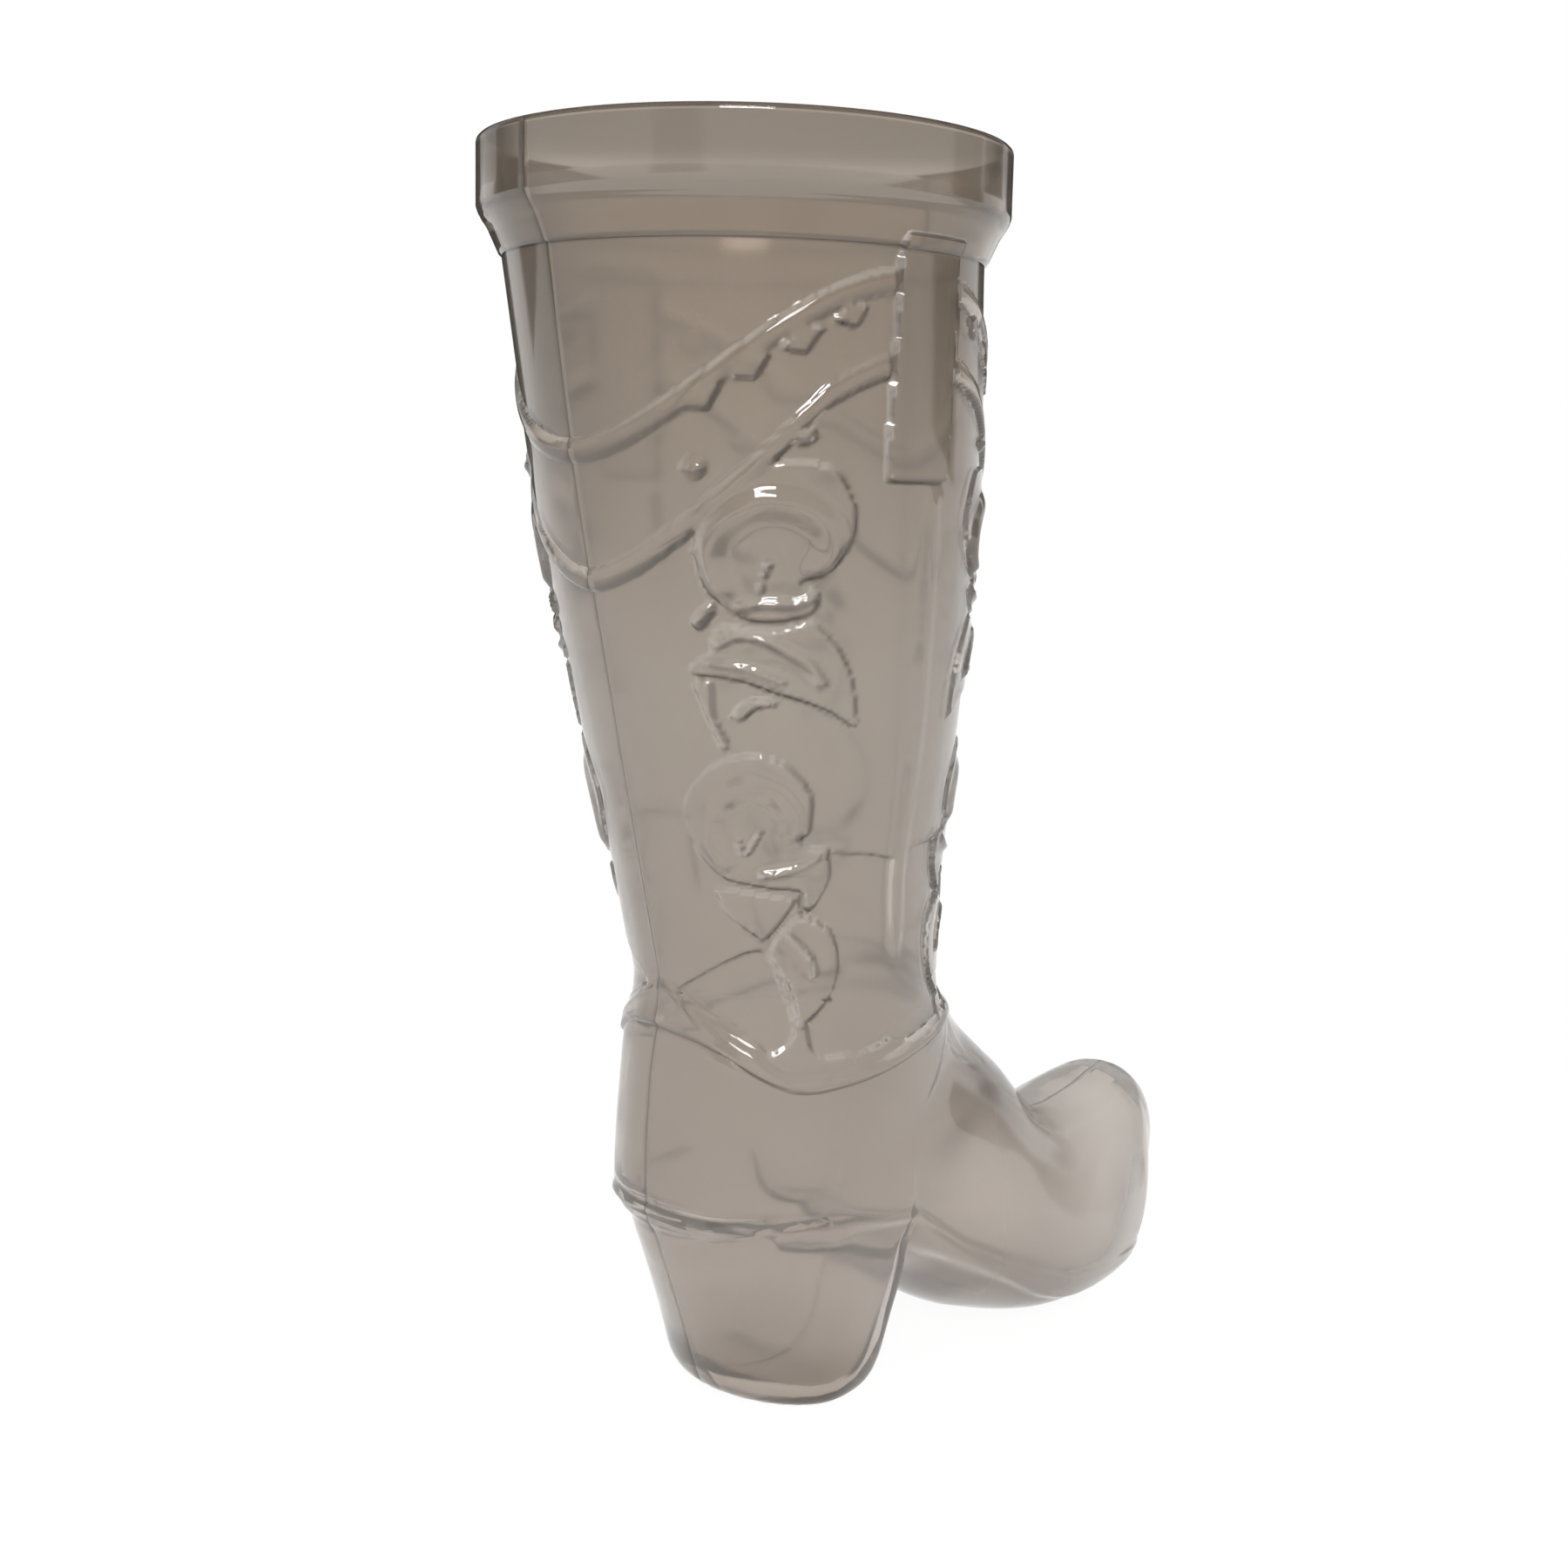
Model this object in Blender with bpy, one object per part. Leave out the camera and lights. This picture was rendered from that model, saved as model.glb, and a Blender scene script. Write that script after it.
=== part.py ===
"""Boot-shaped drinking cup of clear plastic: two moulded half shells, joined along the plane of
symmetry by a half-lap seam.  The right half carries a thin tongue that lies behind the left half's lip.

Frame: +X to the toe, +Z up, the seam in the plane y = 0, the origin under the middle of the box.
All sizes are in millimetres and are turned into metres where a mesh is made.
"""
import math

import bmesh
import bpy
from mathutils import Vector

for item in list(bpy.data.objects):
    bpy.data.objects.remove(item, do_unlink=True)

MM = 0.001

# Mouth and collar
CUP_HEIGHT = 222.0
RIM_DIAMETER = 91.0
COLLAR_HEIGHT = 12.0
COLLAR_LEDGE = 1.4
COLLAR_TAPER = 7.0
NECK_DIAMETER = 82.4

# Shaft: it narrows and moves forward on its way down to the ankle
CALF_HEIGHT = 167.0
CALF_DIAMETER = 78.0
SHIN_HEIGHT = 130.0
SHIN_LENGTH = 70.0
SHIN_WIDTH = 68.5
LOW_SHIN_HEIGHT = 96.0
LOW_SHIN_LENGTH = 62.0
LOW_SHIN_WIDTH = 55.0
ANKLE_HEIGHT = 78.0
ANKLE_LENGTH = 57.5
ANKLE_WIDTH = 53.0
ANKLE_FORWARD = 12.8

# Foot, measured along X from the mouth's axis and up from the floor
COUNTER_BACK = 19.0
COUNTER_HEIGHT = 47.0
COUNTER_WIDTH = 51.0
SEAT_BACK = 18.2
SEAT_HEIGHT = 36.5
SEAT_WIDTH = 50.0
WAIST_X = 27.0
WAIST_HEIGHT = 21.0
WAIST_WIDTH = 48.0
INSTEP_HEIGHT = 54.0
INSTEP_X = 64.0
BALL_X = 71.0
BALL_WIDTH = 50.0
VAMP_LOW_X = 84.0
VAMP_LOW_HEIGHT = 37.6
TOE_TOP_X = 105.0
TOE_TOP_HEIGHT = 43.4
TOE_SPRING = 9.0
TOE_WIDTH = 32.0
TOE_TIP_X = 116.0
TOE_TIP_HEIGHT = 28.0

# Heel: a tapered block with a round back and a straight breast
HEEL_BASE_BACK = 5.0
HEEL_BASE_FRONT = 21.2
HEEL_BASE_WIDTH = 41.0
HEEL_TOP_FRONT = 32.5
HEEL_INSET = 0.4
HEEL_CORNER = 3.0
HEEL_SIDE_TAPER = 1.6
HEEL_EDGE = 0.8

# Wall and seam
WALL = 1.6
SEAM_GAP = 0.3
TONGUE_THICKNESS = 0.65
TONGUE_REACH = 1.6
TONGUE_DROP = 1.5
SEAM_CLEARANCE = 0.3

# Raised trim
STRAP_WIDTH = 15.5
STRAP_LENGTH = 36.0
STRAP_FORWARD = 4.6
STRAP_CORNER = 2.5
STRAP_PROUD = 0.9
BAND_PROUD = 0.7
VAMP_BAND_BACK = 81.0
VAMP_BAND_SIDE = 64.5
VAMP_BAND_FRONT = 69.0
VAMP_BAND_HEIGHT = 5.5
SOLE_BAND_HEIGHT = 5.0
SOLE_BAND_WAIST = 27.5
SOLE_BAND_BALL = 8.5
SOLE_BAND_TOE = 16.6
YOKE_TOP = 200.0
YOKE_DROP = 27.0
YOKE_HEIGHT = 14.5

# Fineness of the surfaces
AROUND = 40
SHAFT_STEPS = 3
FOOT_STEPS = 3
MOUTH_OVERRUN = 4.0

RIM_RADIUS = RIM_DIAMETER / 2
NECK_HEIGHT = CUP_HEIGHT - COLLAR_HEIGHT - COLLAR_TAPER
X_MID = (TOE_TIP_X - RIM_RADIUS) / 2


def shaft_centre(z):
    """X of the shaft's axis at a height: it leans forward from the neck to the ankle."""
    return ANKLE_FORWARD * (NECK_HEIGHT - z) / (NECK_HEIGHT - ANKLE_HEIGHT)


def level_station(z, length, width, centre=None):
    """A level oval section: back and front points, half width, belly place and two roundnesses."""
    x = shaft_centre(z) if centre is None else centre
    return (x - length / 2, z, x + length / 2, z, width / 2, 0.5, 2.0, 2.0)


def ease(stations, steps):
    """Monotone cubic through rows of numbers, so that no section overshoots its neighbours."""
    slopes = []
    last = len(stations) - 1
    for i, row in enumerate(stations):
        slope = []
        for k, value in enumerate(row):
            before = value - stations[max(i - 1, 0)][k]
            after = stations[min(i + 1, last)][k] - value
            if i == 0 or i == last:
                slope.append(before + after)
            elif before * after <= 0:
                slope.append(0.0)
            else:
                slope.append(2 * before * after / (before + after))
        slopes.append(slope)
    rows = []
    for i in range(last):
        for s in range(steps):
            t = s / steps
            a, b = stations[i], stations[i + 1]
            h00 = (1 + 2 * t) * (1 - t) ** 2
            h10 = t * (1 - t) ** 2
            h01 = t * t * (3 - 2 * t)
            h11 = t * t * (t - 1)
            rows.append([
                h00 * p + h10 * m + h01 * q + h11 * n
                for p, m, q, n in zip(a, slopes[i], b, slopes[i + 1])
            ])
    rows.append(list(stations[last]))
    return rows


def sock_stations():
    """Sections from the rim, down the shaft, around the ankle and out to the toe."""
    collar = [
        level_station(CUP_HEIGHT, RIM_DIAMETER, RIM_DIAMETER, 0.0),
        level_station(NECK_HEIGHT + COLLAR_TAPER, RIM_DIAMETER, RIM_DIAMETER, 0.0),
        level_station(NECK_HEIGHT + COLLAR_TAPER - COLLAR_LEDGE, RIM_DIAMETER - 2 * COLLAR_LEDGE,
                      RIM_DIAMETER - 2 * COLLAR_LEDGE, 0.0),
    ]
    shaft = [
        level_station(NECK_HEIGHT, NECK_DIAMETER, NECK_DIAMETER),
        level_station(CALF_HEIGHT, CALF_DIAMETER, CALF_DIAMETER),
        level_station(SHIN_HEIGHT, SHIN_LENGTH, SHIN_WIDTH),
        level_station(LOW_SHIN_HEIGHT, LOW_SHIN_LENGTH, LOW_SHIN_WIDTH),
        level_station(ANKLE_HEIGHT, ANKLE_LENGTH, ANKLE_WIDTH),
    ]
    ankle = shaft[-1]
    ankle_front = ankle[2]
    counter_top = (ANKLE_HEIGHT + COUNTER_HEIGHT) / 2
    drop = (ANKLE_HEIGHT - INSTEP_HEIGHT) / 6
    run = (INSTEP_X - ankle_front) / 6
    foot = [
        ankle,
        (-COUNTER_BACK + 0.8, counter_top, ankle_front + 0.9 * run, ANKLE_HEIGHT - 1.3 * drop,
         (ANKLE_WIDTH + COUNTER_WIDTH) / 4, 0.5, 2.1, 2.0),
        (-COUNTER_BACK, COUNTER_HEIGHT, ankle_front + 2.0 * run, ANKLE_HEIGHT - 2.5 * drop,
         COUNTER_WIDTH / 2, 0.45, 2.2, 2.0),
        (-SEAT_BACK, SEAT_HEIGHT, ankle_front + 3.1 * run, ANKLE_HEIGHT - 3.6 * drop,
         SEAT_WIDTH / 2, 0.40, 2.4, 2.0),
        ((WAIST_X - SEAT_BACK) * 0.1, (WAIST_HEIGHT + 2 * SEAT_HEIGHT) / 3, ankle_front + 4.5 * run,
         ANKLE_HEIGHT - 4.8 * drop, (SEAT_WIDTH + WAIST_WIDTH) / 4, 0.36, 2.6, 2.0),
        (WAIST_X, WAIST_HEIGHT, INSTEP_X, INSTEP_HEIGHT, WAIST_WIDTH / 2, 0.36, 2.6, 2.0),
        ((WAIST_X + BALL_X) / 2, WAIST_HEIGHT * 0.24, (INSTEP_X + VAMP_LOW_X) / 2,
         INSTEP_HEIGHT * 0.38 + VAMP_LOW_HEIGHT * 0.62, (WAIST_WIDTH + BALL_WIDTH) / 4, 0.38, 2.3, 2.0),
        (BALL_X, 0.0, VAMP_LOW_X, VAMP_LOW_HEIGHT, BALL_WIDTH / 2, 0.38, 2.3, 2.0),
        ((BALL_X + TOE_TIP_X) / 2 - 7.0, TOE_SPRING * 0.2, (VAMP_LOW_X + TOE_TOP_X) / 2,
         VAMP_LOW_HEIGHT * 0.65 + TOE_TOP_HEIGHT * 0.35, BALL_WIDTH * 0.3 + TOE_WIDTH * 0.3, 0.4, 2.3, 2.1),
        (TOE_TIP_X - 16.0, TOE_SPRING, TOE_TOP_X, TOE_TOP_HEIGHT, TOE_WIDTH / 2, 0.45, 2.3, 2.2),
        (TOE_TIP_X - 5.5, TOE_TIP_HEIGHT - 10.0, TOE_TIP_X - 4.5, TOE_TIP_HEIGHT + 10.0,
         TOE_WIDTH * 0.29, 0.5, 2.1, 2.1),
        (TOE_TIP_X - 1.2, TOE_TIP_HEIGHT - 5.0, TOE_TIP_X - 1.2, TOE_TIP_HEIGHT + 4.5,
         TOE_WIDTH * 0.13, 0.5, 2.0, 2.0),
        (TOE_TIP_X, TOE_TIP_HEIGHT - 0.5, TOE_TIP_X, TOE_TIP_HEIGHT + 0.5, 0.5, 0.5, 2.0, 2.0),
    ]
    return collar + ease(shaft, SHAFT_STEPS)[:-1] + ease(foot, FOOT_STEPS)


def section_ring(station):
    """Closed ring of one section, from its back or bottom point around by the right side."""
    back_x, back_z, front_x, front_z, half, belly, low, high = station
    ring = []
    for k in range(AROUND):
        angle = 2 * math.pi * k / AROUND
        c, s = math.cos(angle), math.sin(angle)
        power = 2 / (low if c >= 0 else high)
        reach = abs(c) ** power
        t = belly - belly * reach if c >= 0 else belly + (1 - belly) * reach
        side = half * abs(s) ** power * (-1 if s > 0 else 1)
        ring.append(Vector((
            back_x + t * (front_x - back_x) - X_MID,
            side if abs(s) > 1e-9 else 0.0,
            back_z + t * (front_z - back_z),
        )))
    return ring


def shifted(rings, inset):
    """The same rings moved inwards along the surface normal."""
    moved = []
    last = len(rings) - 1
    for i, ring in enumerate(rings):
        row = []
        for k, point in enumerate(ring):
            along = rings[min(i + 1, last)][k] - rings[max(i - 1, 0)][k]
            around = ring[(k + 1) % AROUND] - ring[k - 1]
            normal = along.cross(around)
            normal.normalize()
            row.append(point - normal * inset)
        moved.append(row)
    return moved


def hidden(obj):
    """Marks a helper solid, so that it isn't part of the cup."""
    obj.hide_render = True
    obj.display_type = 'WIRE'
    return obj


def solid_from_rings(name, rings):
    """Closed solid through rings of equal length, with a flat cap on both ends."""
    mesh = bmesh.new()
    rows = [[mesh.verts.new(point * MM) for point in ring] for ring in rings]
    count = len(rows[0])
    for upper, lower in zip(rows, rows[1:]):
        for k in range(count):
            n = (k + 1) % count
            mesh.faces.new((upper[k], upper[n], lower[n], lower[k]))
    mesh.faces.new(rows[0])
    mesh.faces.new(rows[-1])
    bmesh.ops.recalc_face_normals(mesh, faces=mesh.faces)
    data = bpy.data.meshes.new(name)
    mesh.to_mesh(data)
    mesh.free()
    obj = bpy.data.objects.new(name, data)
    bpy.context.collection.objects.link(obj)
    return hidden(obj)


def prism(name, outline, side_from, side_to):
    """Closed outline in X and Z, drawn out along Y."""
    near = [Vector((x - X_MID, side_from, z)) for x, z in outline]
    far = [Vector((x - X_MID, side_to, z)) for x, z in outline]
    return solid_from_rings(name, [near, far])


def block(name, low, high):
    """Plain box between two corners."""
    outline = [(low[0], low[2]), (high[0], low[2]), (high[0], high[2]), (low[0], high[2])]
    return prism(name, outline, low[1], high[1])


def boolean(target, tool, operation):
    """Applies one exact Boolean to the target."""
    modifier = target.modifiers.new(tool.name, 'BOOLEAN')
    modifier.operation = operation
    modifier.solver = 'EXACT'
    modifier.object = tool
    bpy.context.view_layer.update()
    evaluated = target.evaluated_get(bpy.context.evaluated_depsgraph_get())
    result = bpy.data.meshes.new_from_object(evaluated)
    target.modifiers.clear()
    target.data = result
    return target


def copy_of(obj, name):
    """Own copy of a helper solid."""
    twin = bpy.data.objects.new(name, obj.data.copy())
    bpy.context.collection.objects.link(twin)
    return hidden(twin)


def sock(name, inset, top_overrun):
    """Shaft and foot without the heel, moved inwards by the inset."""
    rings = shifted([section_ring(row) for row in sock_stations()], inset)
    if top_overrun:
        rings.insert(0, [point + Vector((0, 0, top_overrun)) for point in rings[0]])
    return solid_from_rings(name, rings)


def heel_ring(z, back, front, half):
    """Level D outline: a half oval behind, sides that close in a little, rounded breast corners."""
    middle = back + min(half * 1.05, (front - back) * 0.62)
    corner_y = half - HEEL_SIDE_TAPER
    ring = []
    turn = 8
    for k in range(turn + 1):
        a = math.pi / 2 * k / turn
        ring.append((middle - (middle - back) * math.cos(a), -half * math.sin(a)))
    for k in range(4):
        a = math.pi / 2 * k / 3
        ring.append((front - HEEL_CORNER + HEEL_CORNER * math.sin(a),
                     -corner_y + HEEL_CORNER - HEEL_CORNER * math.cos(a)))
    ring += [(x, -y) for x, y in reversed(ring[1:])]
    return [Vector((x - X_MID, y, z)) for x, y in ring]


def heel(name, inset):
    """Heel block from the floor up into the foot, moved inwards by the inset, with a broken base edge."""
    top = SEAT_HEIGHT + 1.0 - inset
    floor = max(inset, 0.0)
    levels = [(top, 0.0), (SEAT_HEIGHT * 0.5, 0.0), (floor + HEEL_EDGE * 1.4, 0.0), (floor, HEEL_EDGE)]
    rows = []
    for z, edge in levels:
        t = z / top
        less = inset + edge
        rows.append(heel_ring(
            z,
            -HEEL_BASE_BACK + t * (HEEL_BASE_BACK - SEAT_BACK + HEEL_INSET) + less,
            HEEL_BASE_FRONT + t * (HEEL_TOP_FRONT - HEEL_BASE_FRONT) - less,
            HEEL_BASE_WIDTH / 2 + t * (SEAT_WIDTH / 2 - HEEL_INSET - HEEL_BASE_WIDTH / 2) - less,
        ))
    return solid_from_rings(name, rows)


def body(name, inset, top_overrun=0.0):
    """Whole boot form at one depth under the outer skin."""
    return boolean(sock(name, inset, top_overrun), heel(name + " heel", inset), 'UNION')


def rounded_box_outline(x0, x1, z0, z1, corner):
    """Outline of a flat pad with round lower corners."""
    outline = [(x0, z1), (x1, z1)]
    for centre, start in (((x1 - corner, z0 + corner), 0.0), ((x0 + corner, z0 + corner), -math.pi / 2)):
        for k in range(5):
            a = start - math.pi / 2 * k / 4
            outline.append((centre[0] + corner * math.cos(a), centre[1] + corner * math.sin(a)))
    return outline


def ribbon_outline(line, height):
    """Strip of even height that hangs under a line of X, Z points."""
    return list(line) + [(x, z - height) for x, z in reversed(line)]


def vamp_line():
    """Upper edge of the band between shaft and foot, from behind the counter to the instep."""
    back_x = -COUNTER_BACK - 6.0
    front_x = INSTEP_X - 8.0
    dip_x = shaft_centre(VAMP_BAND_SIDE) - 6.0
    line = []
    for k in range(13):
        x = back_x + (front_x - back_x) * k / 12
        end, edge = (VAMP_BAND_BACK, back_x) if x < dip_x else (VAMP_BAND_FRONT, front_x)
        t = abs(x - dip_x) / abs(edge - dip_x)
        line.append((x, VAMP_BAND_SIDE + (end - VAMP_BAND_SIDE) * t ** 1.6))
    return line


def sole_line():
    """Upper edge of the sole band, from the heel breast over the ball to the toe."""
    rows = ease([
        (HEEL_TOP_FRONT - 2.0, SOLE_BAND_WAIST + 3.0),
        ((HEEL_TOP_FRONT + BALL_X) / 2, (SOLE_BAND_WAIST + SOLE_BAND_BALL) / 2 + 3.0),
        (BALL_X + 6.0, SOLE_BAND_BALL + 2.5),
        (TOE_TIP_X - 16.0, (SOLE_BAND_BALL + SOLE_BAND_TOE) / 2 + 1.0),
        (TOE_TIP_X + 6.0, SOLE_BAND_TOE + 4.0),
    ], 3)
    return [(x, z) for x, z in rows]


def yoke_line(toward):
    """Upper edge of the scallop, from the pull strap around to the back or the front seam."""
    line = []
    for k in range(11):
        turn = math.pi / 2 * k / 10
        z = YOKE_TOP - YOKE_DROP * math.sin(turn) ** 2
        line.append((shaft_centre(z) + toward * CALF_DIAMETER / 2 * math.sin(turn), z))
    line.append((line[-1][0] + toward * WALL * 4, line[-1][1]))
    return line if toward > 0 else list(reversed(line))


outer = body("outer skin", 0.0)
proud = sock("trim skin", -BAND_PROUD, 0.0)
strap_skin = sock("strap skin", -STRAP_PROUD, 0.0)
reach_y = RIM_DIAMETER
for tool in (
    prism("vamp band", ribbon_outline(vamp_line(), VAMP_BAND_HEIGHT), -reach_y, reach_y),
    prism("sole band", ribbon_outline(sole_line(), SOLE_BAND_HEIGHT), -reach_y, reach_y),
    prism("back scallop", ribbon_outline(yoke_line(-1), YOKE_HEIGHT), -reach_y, reach_y),
    prism("front scallop", ribbon_outline(yoke_line(1), YOKE_HEIGHT), -reach_y, reach_y),
):
    boolean(outer, boolean(copy_of(proud, "trim"), tool, 'INTERSECT'), 'UNION')

strap_x = shaft_centre(NECK_HEIGHT - STRAP_LENGTH / 2) + STRAP_FORWARD
strap_outline = rounded_box_outline(
    strap_x - STRAP_WIDTH / 2, strap_x + STRAP_WIDTH / 2,
    NECK_HEIGHT - STRAP_LENGTH, NECK_HEIGHT + 1.0, STRAP_CORNER)
strap_tool = prism("strap", strap_outline, -reach_y, reach_y)
boolean(outer, boolean(copy_of(strap_skin, "pull straps"), strap_tool, 'INTERSECT'), 'UNION')

inner = body("inner skin", WALL, MOUTH_OVERRUN)
tongue_skin = body("tongue skin", WALL - TONGUE_THICKNESS)
rebate_skin = body("rebate skin", WALL - TONGUE_THICKNESS - SEAM_CLEARANCE)

BIG = 2 * CUP_HEIGHT
half_gap = SEAM_GAP / 2
tongue_top = CUP_HEIGHT - TONGUE_DROP
rebate_top = tongue_top + SEAM_CLEARANCE
rebate_reach = TONGUE_REACH + SEAM_CLEARANCE

right = boolean(copy_of(outer, "right_half_shell"),
                block("right side", (-BIG, -BIG, -BIG), (BIG, -half_gap, BIG)), 'INTERSECT')
tongue = boolean(copy_of(tongue_skin, "tongue"),
                 block("tongue side", (-BIG, -BIG, -BIG), (BIG, TONGUE_REACH, tongue_top)), 'INTERSECT')
boolean(right, tongue, 'UNION')
boolean(right, inner, 'DIFFERENCE')

left = boolean(copy_of(outer, "left_half_shell"),
               block("left side", (-BIG, half_gap, -BIG), (BIG, BIG, BIG)), 'INTERSECT')
rebate = boolean(copy_of(rebate_skin, "rebate"),
                 block("rebate side", (-BIG, -BIG, -BIG), (BIG, rebate_reach, rebate_top)), 'INTERSECT')
boolean(left, rebate, 'DIFFERENCE')
boolean(left, inner, 'DIFFERENCE')

for shell, tint in ((right, (0.62, 0.57, 0.52, 1.0)), (left, (0.60, 0.55, 0.50, 1.0))):
    shell.hide_render = False
    shell.display_type = 'TEXTURED'
    plastic = bpy.data.materials.new(shell.name + " plastic")
    plastic.use_nodes = True
    surface = plastic.node_tree.nodes["Principled BSDF"]
    surface.inputs["Base Color"].default_value = tint
    surface.inputs["Roughness"].default_value = 0.12
    surface.inputs["Transmission Weight"].default_value = 0.8
    shell.data.materials.clear()
    shell.data.materials.append(plastic)
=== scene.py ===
"""Looks of a boot-shaped drinking cup: two mirrored half shells of clear, smoky plastic with moulded
ornament, standing on a white studio floor.  The cup's sizes are in millimetres, the studio's in metres and
angles in degrees; X runs from the mouth's axis to the toe, Z up, and the seam lies in the plane y = 0."""
import math

import bpy
import numpy as np
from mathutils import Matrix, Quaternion, Vector
from mathutils.bvhtree import BVHTree


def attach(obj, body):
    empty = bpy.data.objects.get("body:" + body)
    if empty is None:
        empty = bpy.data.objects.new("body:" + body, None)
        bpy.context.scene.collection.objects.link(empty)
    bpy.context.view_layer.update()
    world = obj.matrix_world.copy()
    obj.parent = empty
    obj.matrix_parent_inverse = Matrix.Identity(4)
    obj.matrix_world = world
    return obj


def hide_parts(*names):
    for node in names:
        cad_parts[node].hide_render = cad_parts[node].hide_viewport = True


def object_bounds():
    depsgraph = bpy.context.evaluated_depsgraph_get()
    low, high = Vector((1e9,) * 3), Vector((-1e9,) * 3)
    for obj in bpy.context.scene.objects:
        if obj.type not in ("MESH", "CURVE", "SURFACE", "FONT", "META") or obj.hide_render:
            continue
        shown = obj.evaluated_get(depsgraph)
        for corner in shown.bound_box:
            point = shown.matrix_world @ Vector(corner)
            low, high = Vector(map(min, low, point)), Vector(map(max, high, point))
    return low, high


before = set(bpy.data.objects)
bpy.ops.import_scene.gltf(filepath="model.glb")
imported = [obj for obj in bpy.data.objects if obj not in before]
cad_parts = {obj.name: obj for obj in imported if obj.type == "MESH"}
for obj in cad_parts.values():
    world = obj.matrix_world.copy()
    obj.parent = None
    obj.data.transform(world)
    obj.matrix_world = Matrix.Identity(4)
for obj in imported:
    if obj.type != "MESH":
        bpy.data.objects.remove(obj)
cad_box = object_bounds()

# Shaft with its collar
# A round mouth with a tall straight collar, and below it a shaft that narrows and leans forward to the
# ankle.  Both halves are moulded with it in one thin wall, so the shaft is written as oval levels.
MM = 0.001
CUP_HEIGHT = cad_box[1].z / MM
RIM_RADIUS = cad_box[1].y / MM
MOUTH_X = cad_box[0].x / MM + RIM_RADIUS
WALL = 1.6
COLLAR_BOTTOM = 210.0
COLLAR_LEDGE = 1.4
NECK_HEIGHT = 203.0
NECK_RADIUS = 41.2
NECK_STEP = 0.5
NECK_CRISP = 3.0
ANKLE_HEIGHT = 78.0
ANKLE_FORWARD = 12.8
SHAFT_ROW = 0.52
COLLAR_ROW = 0.36
COLLAR_ROWS = 5
COLUMNS = 184


def lean(z):
    """X of the shaft's axis at a height."""
    return ANKLE_FORWARD * np.minimum(NECK_HEIGHT - z, NECK_HEIGHT) / (NECK_HEIGHT - ANKLE_HEIGHT)


def level(z, length, width):
    """An oval level: back and front points, half width, belly place, lower and upper roundness."""
    x = float(lean(z))
    return (x - length / 2, z, x + length / 2, z, width / 2, 0.5, 2.0, 2.0)


SHAFT_STATIONS = [
    level(NECK_HEIGHT, 2 * NECK_RADIUS, 2 * NECK_RADIUS),
    level(167.0, 78.0, 78.0),
    level(130.0, 70.0, 68.5),
    level(96.0, 62.0, 55.0),
    level(ANKLE_HEIGHT, 57.5, 53.0),
]


def eased(table, at):
    """Monotone cubic through the rows of a table, read at fractional row numbers."""
    rows = np.asarray(table, float)
    step = np.diff(rows, axis=0)
    before, after = step[:-1], step[1:]
    total = np.where(before * after > 0, before + after, np.inf)
    slope = np.vstack([step[:1], 2 * before * after / total, step[-1:]])
    i = np.clip(np.floor(at).astype(int), 0, len(rows) - 2)
    t = (at - i)[:, None]
    return ((1 + 2 * t) * (1 - t) ** 2 * rows[i] + t * (1 - t) ** 2 * slope[i]
            + t * t * (3 - 2 * t) * rows[i + 1] + t * t * (t - 1) * slope[i + 1])


def shaft_levels():
    """Every mesh row from the lip to the ankle: height, axis X, half length and half width."""
    lip = CUP_HEIGHT - WALL / 2
    ledge = COLLAR_BOTTOM + 1
    z = np.concatenate([[lip], np.linspace(lip - COLLAR_ROW, ledge, COLLAR_ROWS, endpoint=False),
                        np.arange(ledge, NECK_HEIGHT + COLLAR_ROW / 2, -COLLAR_ROW)])
    bends = [NECK_HEIGHT, NECK_HEIGHT + COLLAR_ROW, COLLAR_BOTTOM - COLLAR_LEDGE, COLLAR_BOTTOM]
    radii = [NECK_RADIUS, NECK_RADIUS + NECK_STEP, RIM_RADIUS - COLLAR_LEDGE, RIM_RADIUS]
    softness = np.where(z > NECK_HEIGHT + NECK_CRISP, 1, 0)
    radius = sum(np.interp(z + softness * way, bends, radii) for way in (-1, 0, 1)) / 3
    collar = np.stack([z, 0 * z, radius, radius], axis=1)
    at = []
    for i, (upper, lower) in enumerate(zip(SHAFT_STATIONS, SHAFT_STATIONS[1:])):
        count = round((upper[1] - lower[1]) / SHAFT_ROW)
        at.append(i + np.arange(count) / count)
    rows = eased(SHAFT_STATIONS, np.concatenate(at))
    shaft = np.stack([rows[:, 1], (rows[:, 0] + rows[:, 2]) / 2,
                      (rows[:, 2] - rows[:, 0]) / 2, rows[:, 4]], axis=1)
    return np.vstack([collar, shaft])


ROUND = np.radians(np.linspace(0, 180, COLUMNS + 1))


def shaft_points(levels, inset):
    """Half ovals from the back seam by the right side to the front seam, moved inwards by the inset."""
    z, axis_x, half_length, half_width = (column[:, None] for column in levels.T)
    points = np.empty((len(levels), COLUMNS + 1, 3))
    points[..., 0] = axis_x - (half_length - inset) * np.cos(ROUND)
    points[..., 1] = -(half_width - inset) * np.sin(ROUND)
    points[..., 2] = z
    return points


# Foot and heel
# Below the ankle the wall turns into the foot: a round counter, a low instep and a turned-up toe.  The
# hollow heel block hangs under the counter; the drink runs into both, so inside and outside follow.
TOE_TIP = cad_box[1].x / MM - MOUTH_X
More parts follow.
